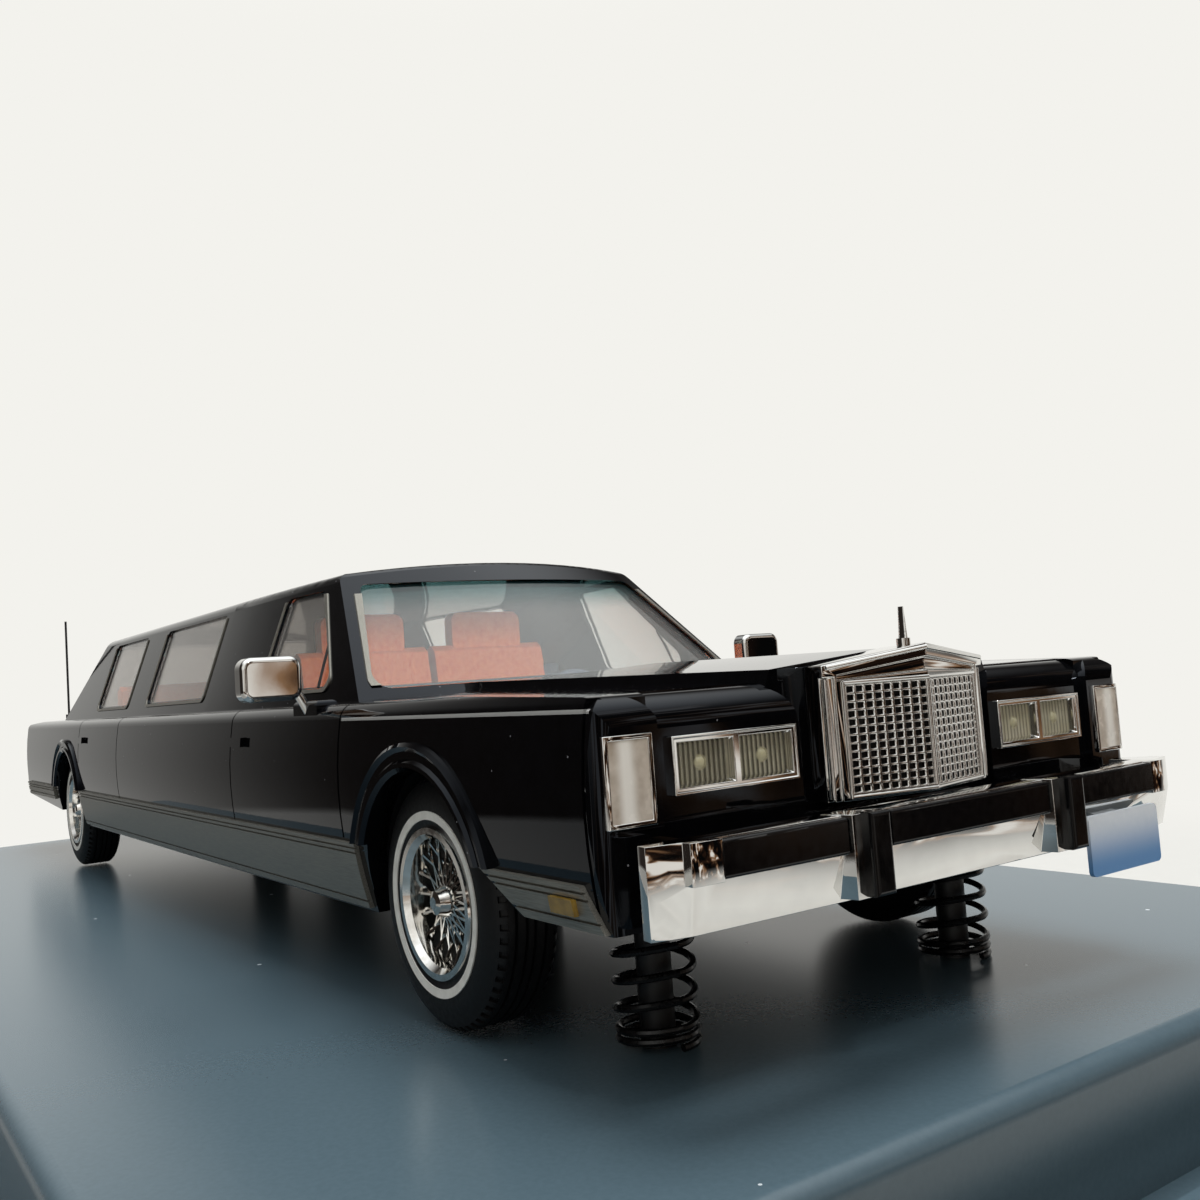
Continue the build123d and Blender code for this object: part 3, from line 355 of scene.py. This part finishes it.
chrome = bright_chrome()
plain_black = black_abs()
by_slot = {
    "black_lacquer": black_lacquer(), "plinth_grey": slate_abs(), "chassis_black": plain_black,
    "spring_steel": bright_steel(), "spring_black": black_wire(), "chrome": chrome,
    "pad_rubber": pad_rubber(), "tyre_rubber": tyre_rubber(), "white_band": white_rubber(),
    "dark_plastic": plain_black, "clear_glazing": clear_pane("faintly_smoked_pane", "#e2deda", "#dcd8d4"),
    "clear_lens": lamp_lens(), "milky_lens": milky_lens(), "satin_trim": satin_foil(),
    "amber_lens": coloured_lens("amber_acrylic", ("#7a5f22", "#9c7d31")),
    "red_lens": coloured_lens("red_acrylic", ("#7c0a0c", "#a31114")),
    "plate_white": plate_enamel(), "seat_plastic": seat_plastic(), "cabin_trim": cabin_plastic(),
}
by_node = {
    "windscreen": clear_pane("tinted_windscreen", "#e9eceb", "#5d979b"),
    "rear_window": clear_pane("smoked_rear_pane", "#8f8c89", "#878480"),
}
wire_plating = wire_chrome()
for end in ("front", "rear"):
    for side in ("right", "left"):
        by_node[f"{end}_{side}_rim"] = wire_plating
for row in record["subparts"]:
    mesh = nodes[row["node"]].data
    mesh.materials.clear()
    mesh.materials.append(by_node.get(row["node"], by_slot[row["material_slot"]]))
# Light passes the panes and lenses into what lies behind them
for node in ("windscreen", "rear_window", "side_glass_right", "side_glass_left", "headlamp_lenses"):
    nodes[node].visible_shadow = False


# Pieces modelled here
def start_piece(name):
    """Names the new primitive and opens it in edit mode with its faces selected."""
    bpy.ops.object.mode_set(mode="EDIT")
    bpy.context.object.name = name
    bpy.ops.mesh.select_mode(type="FACE")
    return bpy.context.object


def pick(piece, test):
    """Selects the faces whose middle and normal pass the test."""
    bpy.ops.mesh.select_all(action="DESELECT")
    bpy.ops.object.mode_set(mode="OBJECT")
    for face in piece.data.polygons:
        face.select = test(face.center, face.normal)
    bpy.ops.object.mode_set(mode="EDIT")


def settle(piece, angle):
    """Leaves edit mode with the normals outward and the place in the mesh."""
    bpy.ops.mesh.select_all(action="SELECT")
    bpy.ops.mesh.remove_doubles(threshold=0.001 * MM)
    bpy.ops.mesh.normals_make_consistent(inside=False)
    bpy.ops.object.mode_set(mode="OBJECT")
    bpy.ops.object.transform_apply(location=True, rotation=True, scale=True)
    bpy.ops.object.shade_smooth_by_angle(angle=radians(angle))
    return piece


# Tyre: columns of a wall are how far the ring steps inward and outward from the one before, in mm
TYRE_R, TREAD_W, SEGMENTS = 7.93, 3.1, 120
WALL = [(0.12, 0.2), (0.2, 0.22), (0.3, 0.2), (0.4, 0.16), (0.5, 0.14), (1.28, -0.07), (0.4, -0.22)]
# Tread ribs: columns are how far the band steps in from both sides and outward
GROOVE = [(0.03, -0.28), (0.17, 0.0), (0.03, 0.28)]
RIBS = [(0.42, 0.0)] + GROOVE + [(0.5, 0.0)] + GROOVE
# Shoulder notches: how far below the tread they start and end, the rim left round each, and their depth
NOTCH_BELOW, NOTCH_RIM, NOTCH_DEPTH = (0.35, 0.02), 0.03, 0.22


def model_tyre(name):
    """A cylinder with grooves pressed into its tread, ends stepped into walls, and notched shoulders."""
    bpy.ops.object.select_all(action="DESELECT")
    bpy.ops.mesh.primitive_cylinder_add(vertices=SEGMENTS, radius=TYRE_R * MM, depth=TREAD_W * MM,
                                        end_fill_type="NGON", rotation=(pi / 2, 0, 0))
    tyre = start_piece(name)
    pick(tyre, lambda middle, normal: abs(normal.z) < 0.5)
    for step_in, step_out in RIBS:
        bpy.ops.mesh.inset(thickness=step_in * MM, depth=step_out * MM, use_even_offset=True)
    end_z = TREAD_W * 0.49 * MM
    for way in (1, -1):
        pick(tyre, lambda middle, normal: normal.z * way > 0.9 and abs(middle.z) > end_z)
        for step_in, step_out in WALL:
            bpy.ops.mesh.inset(thickness=step_in * MM, depth=step_out * MM)
        bpy.ops.mesh.delete(type="FACE")
    bpy.ops.mesh.select_mode(type="EDGE")
    bpy.ops.mesh.select_all(action="DESELECT")
    bpy.ops.mesh.select_non_manifold(extend=False, use_wire=False, use_boundary=True, use_multi_face=False,
                                     use_non_contiguous=False, use_verts=False)
    bpy.ops.mesh.bridge_edge_loops()
    bpy.ops.mesh.select_mode(type="FACE")
    notch_r = [TYRE_R - below for below in NOTCH_BELOW]

    def every_other(middle, normal):
        reach = (middle.x ** 2 + middle.y ** 2) ** 0.5 / MM
        turn = round((atan2(middle.y, middle.x) / (2 * pi) * SEGMENTS) - 0.5)
        return turn % 2 == 0 and notch_r[0] < reach < notch_r[1] and abs(middle.z) > TREAD_W * 0.5 * MM

    pick(tyre, every_other)
    bpy.ops.mesh.inset(thickness=NOTCH_RIM * MM, depth=-NOTCH_DEPTH * MM, use_individual=False)
    return settle(tyre, 35)


first_tyre = model_tyre("tyre_pattern")
for end, axle_x in (("front", 0.0), ("rear", -WHEELBASE)):
    for side, sign in (("right", -1), ("left", 1)):
        tyre = first_tyre.copy()
        tyre.data = first_tyre.data.copy()
        tyre.name = f"{end}_{side}_treaded_tyre"
        tyre.data.transform(Matrix.Translation(car(axle_x, sign * TYRE_Y, AXLE_Z)))
        tyre.data.materials.append(by_slot["tyre_rubber"])
        bpy.context.collection.objects.link(tyre)
        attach(tyre, f"{end}_wheelset")
        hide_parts(f"{end}_{side}_tyre")
bpy.data.objects.remove(first_tyre)


# Grille mesh: two leaves of rounded bars, swung back from the prow, and a rib at the fold. A leaf is drawn
# flat, x along it and y up.
PROW_X, PROW_TURN, LEAF_W, LEAF_Z0, LEAF_Z1 = 22.6, radians(12.5), 5.77, 14.0, 20.1
COLUMNS, ROWS, HALF_POST, HALF_BAR, DISH, LEAF_WALL = 9, 13, 0.15, 0.095, 0.1, 0.14
RIB_X, RIB_W = PROW_X - 0.12, 0.4
# Columns of a bar's rounding: share of the half bar stepped in, and depth below the crest in dishes
ROUNDING = [(0.22, 0.0), (0.28, -0.25), (0.26, -0.6), (0.24, -1.2)]


def leaf_place(sign, along, z, proud=0.0):
    """A point on a leaf: `along` mm from the prow and `proud` mm in front of its face."""
    out = Vector((cos(PROW_TURN), sign * sin(PROW_TURN), 0)) * proud
    side = Vector((-sin(PROW_TURN), sign * cos(PROW_TURN), 0)) * along
    return car(PROW_X, 0, z) + (out + side) * MM


def model_mesh_leaf(sign):
    """A grid with its cells dished in steps and pierced, set on its side of the prow and given a wall."""
    cell = (LEAF_W / COLUMNS / HALF_POST, (LEAF_Z1 - LEAF_Z0) / ROWS / HALF_BAR)
    bpy.ops.object.select_all(action="DESELECT")
    bpy.ops.mesh.primitive_grid_add(x_subdivisions=COLUMNS, y_subdivisions=ROWS, size=1.0)
    leaf = start_piece("mesh_leaf")
    bpy.ops.transform.resize(value=(COLUMNS * cell[0], ROWS * cell[1], 1.0))
    for step, depth in ROUNDING:
        bpy.ops.mesh.inset(thickness=step, depth=depth, use_individual=True)
    bpy.ops.mesh.delete(type="FACE")
    bpy.ops.object.mode_set(mode="OBJECT")
    middle = leaf_place(sign, LEAF_W / 2, (LEAF_Z0 + LEAF_Z1) / 2)
    turn = Matrix.Rotation(pi / 2 + sign * PROW_TURN, 4, "Z") @ Matrix.Rotation(pi / 2, 4, "X")
    size = Matrix.Diagonal((HALF_POST * MM, HALF_BAR * MM, DISH * MM, 1.0))
    leaf.matrix_world = Matrix.Translation(middle) @ turn @ size
    bpy.ops.object.mode_set(mode="EDIT")
    settle(leaf, 70)
    wall = leaf.modifiers.new("wall", "SOLIDIFY")
    wall.thickness = LEAF_WALL * MM
    wall.offset = -1.0
    bpy.ops.object.modifier_apply(modifier="wall")
    return leaf


def model_bead(name, start, stop, width, ends=0.3):
    """A bead of trim between two points: a rod with its ends drawn in."""
    line = stop - start
    bpy.ops.object.select_all(action="DESELECT")
    bpy.ops.mesh.primitive_cylinder_add(vertices=12, radius=width / 2 * MM, depth=line.length,
                                        location=(start + stop) / 2)
    bead = start_piece(name)
    bead.rotation_euler = line.to_track_quat("Z", "Y").to_euler()
    for way in (1, -1):
        pick(bead, lambda middle, normal: normal.z * way > 0.9)
        bpy.ops.mesh.inset(thickness=width * ends * MM, depth=width * 0.2 * MM)
    return settle(bead, 50)


def soften(piece, radius, segments, limit):
    """Rounds the edges of the active piece that turn by more than `limit` degrees."""
    soft = piece.modifiers.new("soft", "BEVEL")
    soft.width = radius * MM
    soft.segments = segments
    soft.limit_method = "ANGLE"
    soft.angle_limit = radians(limit)
    bpy.ops.object.modifier_apply(modifier="soft")


def join(name, parts):
    """One piece made of several."""
    bpy.ops.object.select_all(action="DESELECT")
    for part in parts:
        part.select_set(True)
    bpy.context.view_layer.objects.active = parts[0]
    bpy.ops.object.join()
    parts[0].name = name
    return parts[0]


def place_piece(piece, body, slot, material, *replaced):
    """Gives a piece its finish and its body, and hides the nodes that it stands for."""
    piece.data.materials.clear()
    piece.data.materials.append(material)
    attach(piece, body)
    if replaced:
        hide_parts(*replaced)


leaves = [model_mesh_leaf(sign) for sign in (1, -1)]
rib = model_bead("rib", car(RIB_X, 0, LEAF_Z0), car(RIB_X, 0, LEAF_Z1), RIB_W)
place_piece(join("pressed_grille_mesh", leaves + [rib]), BODY, "chrome", chrome, "grille_mesh")

# Beads on the grille's frame: columns are distance from the prow and height at one end and at the other, how
# far the bead stands in front of the leaf's face, and its width
FRAME_BEADS = [
    (5.93, 13.75, 5.93, 20.3, 0.0, 0.26),
    (6.45, 13.75, 6.45, 20.5, -0.25, 0.3),
    (6.95, 13.75, 6.95, 20.5, -0.25, 0.3),
    (0.0, 20.25, 5.93, 20.25, 0.0, 0.26),
    (0.0, 22.0, 7.0, 21.15, 0.0, 0.3),
    (0.0, 13.8, 5.93, 13.8, 0.0, 0.26),
]
beads = []
for sign in (1, -1):
    for along, z, far_along, far_z, proud, width in FRAME_BEADS:
        start, stop = leaf_place(sign, along, z, proud), leaf_place(sign, far_along, far_z, proud)
        beads.append(model_bead("bead", start, stop, width))
place_piece(join("grille_frame_beads", beads), BODY, "chrome", chrome)

# Headlamp bezels: one block for each side, split, sunk into two bays and softened
BEZEL_X, BEZEL_BACK = 20.6, 18.8
BEZEL_Y, BEZEL_Z = (8.94, 17.75), (15.2, 18.25)
# Steps into the face, and then into each bay: columns are how far the sides draw in and how far it sinks
FACE_STEPS = [(0.12, 0.0), (0.03, -0.08)]
BAY_STEPS = [(0.2, 0.0), (0.16, -0.55), (0.02, -0.7)]


def model_bezel(sign):
    """A block on one side of the car, split in two and stepped into its bays."""
    bpy.ops.object.select_all(action="DESELECT")
    bpy.ops.mesh.primitive_cube_add(size=1.0)
    bezel = start_piece("bezel")
    size = Vector((BEZEL_X - BEZEL_BACK, BEZEL_Y[1] - BEZEL_Y[0], BEZEL_Z[1] - BEZEL_Z[0])) * MM
    bpy.ops.transform.resize(value=size)
    middle = car((BEZEL_X + BEZEL_BACK) / 2, sign * sum(BEZEL_Y) / 2, sum(BEZEL_Z) / 2)
    bpy.ops.transform.translate(value=middle)
    bpy.ops.mesh.bisect(plane_co=middle, plane_no=(0, 1, 0))
    pick(bezel, lambda centre, normal: normal.x > 0.9)
    for step_in, sink in FACE_STEPS:
        bpy.ops.mesh.inset(thickness=step_in * MM, depth=sink * MM)
    for step_in, sink in BAY_STEPS:
        bpy.ops.mesh.inset(thickness=step_in * MM, depth=sink * MM, use_individual=True)
    settle(bezel, 30)
    soften(bezel, 0.05, 2, 30)
    return bezel


bezels = [model_bezel(sign) for sign in (1, -1)]
place_piece(join("softened_bezels", bezels), BODY, "chrome", chrome, "headlamp_bezels")

# Bright castings with softened edges: columns are node and edge radius
CASTINGS = [
    ("front_bumper", 0.12),
    ("rear_bumper", 0.12),
    ("grille_surround", 0.07),
    ("corner_lamp_frames", 0.06),
]
for node, radius in CASTINGS:
    bpy.ops.object.select_all(action="DESELECT")
    casting = nodes[node].copy()
    casting.data = nodes[node].data.copy()
    casting.name = f"softened_{node}"
    casting.parent = None
    casting.matrix_world = Matrix.Identity(4)
    bpy.context.collection.objects.link(casting)
    bpy.context.view_layer.objects.active = casting
    casting.select_set(True)
    bpy.ops.object.mode_set(mode="EDIT")
    bpy.ops.mesh.select_all(action="SELECT")
    bpy.ops.mesh.remove_doubles(threshold=0.002 * MM)
    bpy.ops.mesh.dissolve_limited(angle_limit=radians(1))
    bpy.ops.object.mode_set(mode="OBJECT")
    soften(casting, radius, 3, 20)
    bpy.ops.object.shade_smooth_by_angle(angle=radians(40))
    place_piece(casting, BODY, "chrome", chrome, node)

# Vent light bars on the front side panes: x and z of foot and head, the width, and a y outside the panes
VENT_FOOT, VENT_HEAD, VENT_W, OUTSIDE_Y = (-24.6, 22.4), (-25.5, 26.6), 0.32, 40
bars = []
for side, sign in (("right", -1), ("left", 1)):
    ends = []
    for x, z in (VENT_FOOT, VENT_HEAD):
        outside = car(x, sign * OUTSIDE_Y, z)
        hit, where, normal, index = nodes[f"side_glass_{side}"].ray_cast(outside, Vector((0, -sign, 0)))
        ends.append(where)
    bars.append(model_bead("bar", ends[0], ends[1], VENT_W))
place_piece(join("vent_light_bars", bars), BODY, "dark_plastic", by_slot["dark_plastic"])

# Camera at the photograph's place: sensor width in mm, focal length and picture width in pixels
SENSOR, FOCAL_PX, PICTURE_PX = 36.0, 1157.0, 1200.0
eye = car(67.57, -54.42, 21.38)
yaw, pitch, roll = radians(145.06), radians(3.95), radians(-4.05)
ahead = Vector((cos(pitch) * cos(yaw), cos(pitch) * sin(yaw), sin(pitch)))
right = ahead.cross(Vector((0, 0, 1))).normalized()
up = right.cross(ahead)
lens_data = bpy.data.cameras.new("camera")
lens_data.sensor_fit = "HORIZONTAL"
lens_data.sensor_width = SENSOR
lens_data.lens = SENSOR * FOCAL_PX / PICTURE_PX
lens_data.clip_start = 0.001
camera = bpy.data.objects.new("camera", lens_data)
bpy.context.collection.objects.link(camera)
across = cos(roll) * right + sin(roll) * up
upward = -sin(roll) * right + cos(roll) * up
camera.matrix_world = Matrix.Translation(eye) @ Matrix((across, upward, -ahead)).transposed().to_4x4()
bpy.context.scene.camera = camera

# Floor, world and lamps. The floor's size, its place under the plinth and its fade are in metres.
PALE = rgb("#f3f2ed")
FLOOR_SIZE, FLOOR_Z, FADE = 0.42, -0.0002, (0.11, 0.2)
bpy.ops.object.select_all(action="DESELECT")
bpy.ops.mesh.primitive_plane_add(size=FLOOR_SIZE, location=(0, 0, FLOOR_Z))
floor = bpy.context.object
floor.name = "floor"
paper, tree, surface, place = finish("pale_matt_paper")
grain(tree, surface, place, 3.0, ("#bbbab6", "#bdbcb8"), (0.85, 0.95))
far = add(tree, "VectorMath", links={0: place}, operation="LENGTH")
fade = add(tree, "MapRange", {"From Min": FADE[0], "From Max": FADE[1]}, {"Value": far.outputs["Value"]},
           interpolation_type="SMOOTHSTEP")
path = add(tree, "LightPath")
rays = [path.outputs["Is Camera Ray"], path.outputs["Is Transmission Ray"]]
seen = add(tree, "Math", links={0: rays[0], 1: rays[1]}, operation="MAXIMUM")
share = add(tree, "Math", links={0: fade.outputs[0], 1: seen.outputs[0]}, operation="MULTIPLY")
glow = add(tree, "Emission", {"Color": PALE, "Strength": 1.0})
shown = add(tree, "MixShader", links={0: share.outputs[0], 1: surface.outputs[0], 2: glow.outputs[0]})
# Other rays see the paper thin out toward its rim, and less of it behind the front axle than ahead of it
axes = add(tree, "SeparateXYZ", links={"Vector": place})
beside = add(tree, "MapRange", {"From Min": 0.06, "From Max": 0.13, "To Min": 0.6, "To Max": 0.0},
             {"Value": axes.outputs["X"]}, interpolation_type="SMOOTHSTEP")
thin = add(tree, "Math", links={0: beside.outputs[0], 1: fade.outputs[0]}, operation="MAXIMUM")
unseen = add(tree, "Math", {0: 1.0}, {1: seen.outputs[0]}, operation="SUBTRACT")
gaps = add(tree, "Math", links={0: thin.outputs[0], 1: unseen.outputs[0]}, operation="MULTIPLY")
clear = add(tree, "BsdfTransparent")
mixed = add(tree, "MixShader", links={0: gaps.outputs[0], 1: shown.outputs[0], 2: clear.outputs[0]})
tree.links.new(mixed.outputs[0], tree.nodes["Material Output"].inputs["Surface"])
floor.data.materials.append(paper)

world = bpy.data.worlds.new("studio")
bpy.context.scene.world = world
world.use_nodes = True
tree = world.node_tree
tree.nodes.clear()
facing = add(tree, "TexCoord").outputs["Generated"]
axes = add(tree, "SeparateXYZ", links={"Vector": facing})
# What gloss and soft light see: a pale backdrop low on the left and behind, a dim warm grey elsewhere
beyond = add(tree, "MapRange", {"From Min": -0.4, "From Max": 0.05}, {"Value": axes.outputs["Y"]},
             interpolation_type="SMOOTHSTEP")
under = add(tree, "MapRange", {"From Min": 0.2, "From Max": 0.55, "To Min": 1.0, "To Max": 0.0},
            {"Value": axes.outputs["Z"]}, interpolation_type="SMOOTHSTEP")
behind = add(tree, "MapRange", {"From Min": 0.35, "From Max": 0.6, "To Min": 1.0, "To Max": 0.12},
             {"Value": axes.outputs["X"]}, interpolation_type="SMOOTHSTEP")
low = add(tree, "Math", links={0: beyond.outputs[0], 1: under.outputs[0]}, operation="MULTIPLY")
pale = add(tree, "Math", links={0: low.outputs[0], 1: behind.outputs[0]}, operation="MULTIPLY")
room = add(tree, "Mix", {"A": rgb("#2c2724"), "B": PALE}, {"Factor": pale.outputs[0]}, data_type="RGBA")
# A noise of dark, brown and white patches in front of the car gives the plating something to show
clutter = add(tree, "TexNoise", {"Scale": 6.5, "Detail": 2.0, "Distortion": 0.8}, {"Vector": facing})
shades = add(tree, "ValToRGB", links={"Fac": clutter.outputs[0]})
PATCHES = [(0.41, "#080808"), (0.5, "#2a1b13"), (0.56, "#8f6d50"), (0.62, "#efece6")]
for spot, (stop, code) in enumerate(PATCHES):
    mark = shades.color_ramp.elements[spot] if spot < 2 else shades.color_ramp.elements.new(stop)
    mark.position = stop
    mark.color = rgb(code)
ahead_of = add(tree, "MapRange", {"From Min": 0.15, "From Max": 0.4}, {"Value": axes.outputs["X"]},
               interpolation_type="SMOOTHSTEP")
both = {"A": room.outputs["Result"], "B": shades.outputs["Color"]}
room = add(tree, "Mix", links={"Factor": ahead_of.outputs[0], **both}, data_type="RGBA")
# A soft white glow stands high in front of the car's right side
toward = Vector((0.5, -0.75, 0.45)).normalized()
angle = add(tree, "VectorMath", {1: toward}, {0: facing}, operation="DOT_PRODUCT")
white = add(tree, "MapRange", {"From Min": 0.8, "From Max": 0.97}, {"Value": angle.outputs["Value"]},
            interpolation_type="SMOOTHSTEP")
room = add(tree, "Mix", {"B": PALE}, {"Factor": white.outputs[0], "A": room.outputs["Result"]},
           data_type="RGBA")
# A broad soft light hangs overhead, and veils the windscreen
above = add(tree, "MapRange", {"From Min": 0.5, "From Max": 0.88}, {"Value": axes.outputs["Z"]},
            interpolation_type="SMOOTHSTEP")
room = add(tree, "Mix", {"B": rgb("#f1f4f5")}, {"Factor": above.outputs[0], "A": room.outputs["Result"]},
           data_type="RGBA")
# What is seen straight or through glass has the pale background all round
path = add(tree, "LightPath")
rays = [path.outputs["Is Camera Ray"], path.outputs["Is Transmission Ray"]]
straight = add(tree, "Math", links={0: rays[0], 1: rays[1]}, operation="MAXIMUM")
seen = add(tree, "Mix", {"B": PALE}, {"Factor": straight.outputs[0], "A": room.outputs["Result"]},
           data_type="RGBA")
level = add(tree, "MapRange", {"To Min": 1.0, "To Max": 1.7}, {"Value": above.outputs[0]})
sky = add(tree, "Background", links={"Color": seen.outputs["Result"], "Strength": level.outputs[0]})
add(tree, "OutputWorld", links={"Surface": sky.outputs[0]})

# Columns: name, place in mm, size in mm, power in watts, whether gloss and glass show it
LAMPS = [
    ("top_softbox", (10, 40, 520), 240, 2.4, False),
    ("spark_lamp", (300, -70, 420), 16, 0.2, True),
    ("cabin_lamp", (260, 0, 84), 50, 0.24, False),
]
LAMP_AIM = car(0, 0, 10)
for name, place, size, power, shows in LAMPS:
    lamp = bpy.data.lights.new(name, "AREA")
    lamp.size = size * MM
    lamp.energy = power
    box = bpy.data.objects.new(name, lamp)
    box.location = Vector(place) * MM
    box.visible_glossy = shows
    box.visible_transmission = shows
    box.rotation_euler = (LAMP_AIM - box.location).to_track_quat("-Z", "Y").to_euler()
    bpy.context.collection.objects.link(box)
# The cabin lamp falls on the seats and the trim round them alone
cabin = bpy.data.collections.new("cabin_in_the_light")
for row in record["subparts"]:
    if row["material_slot"] in ("seat_plastic", "cabin_trim"):
        cabin.objects.link(nodes[row["node"]])
bpy.data.objects["cabin_lamp"].light_linking.receiver_collection = cabin
bpy.context.scene.view_settings.view_transform = "Standard"
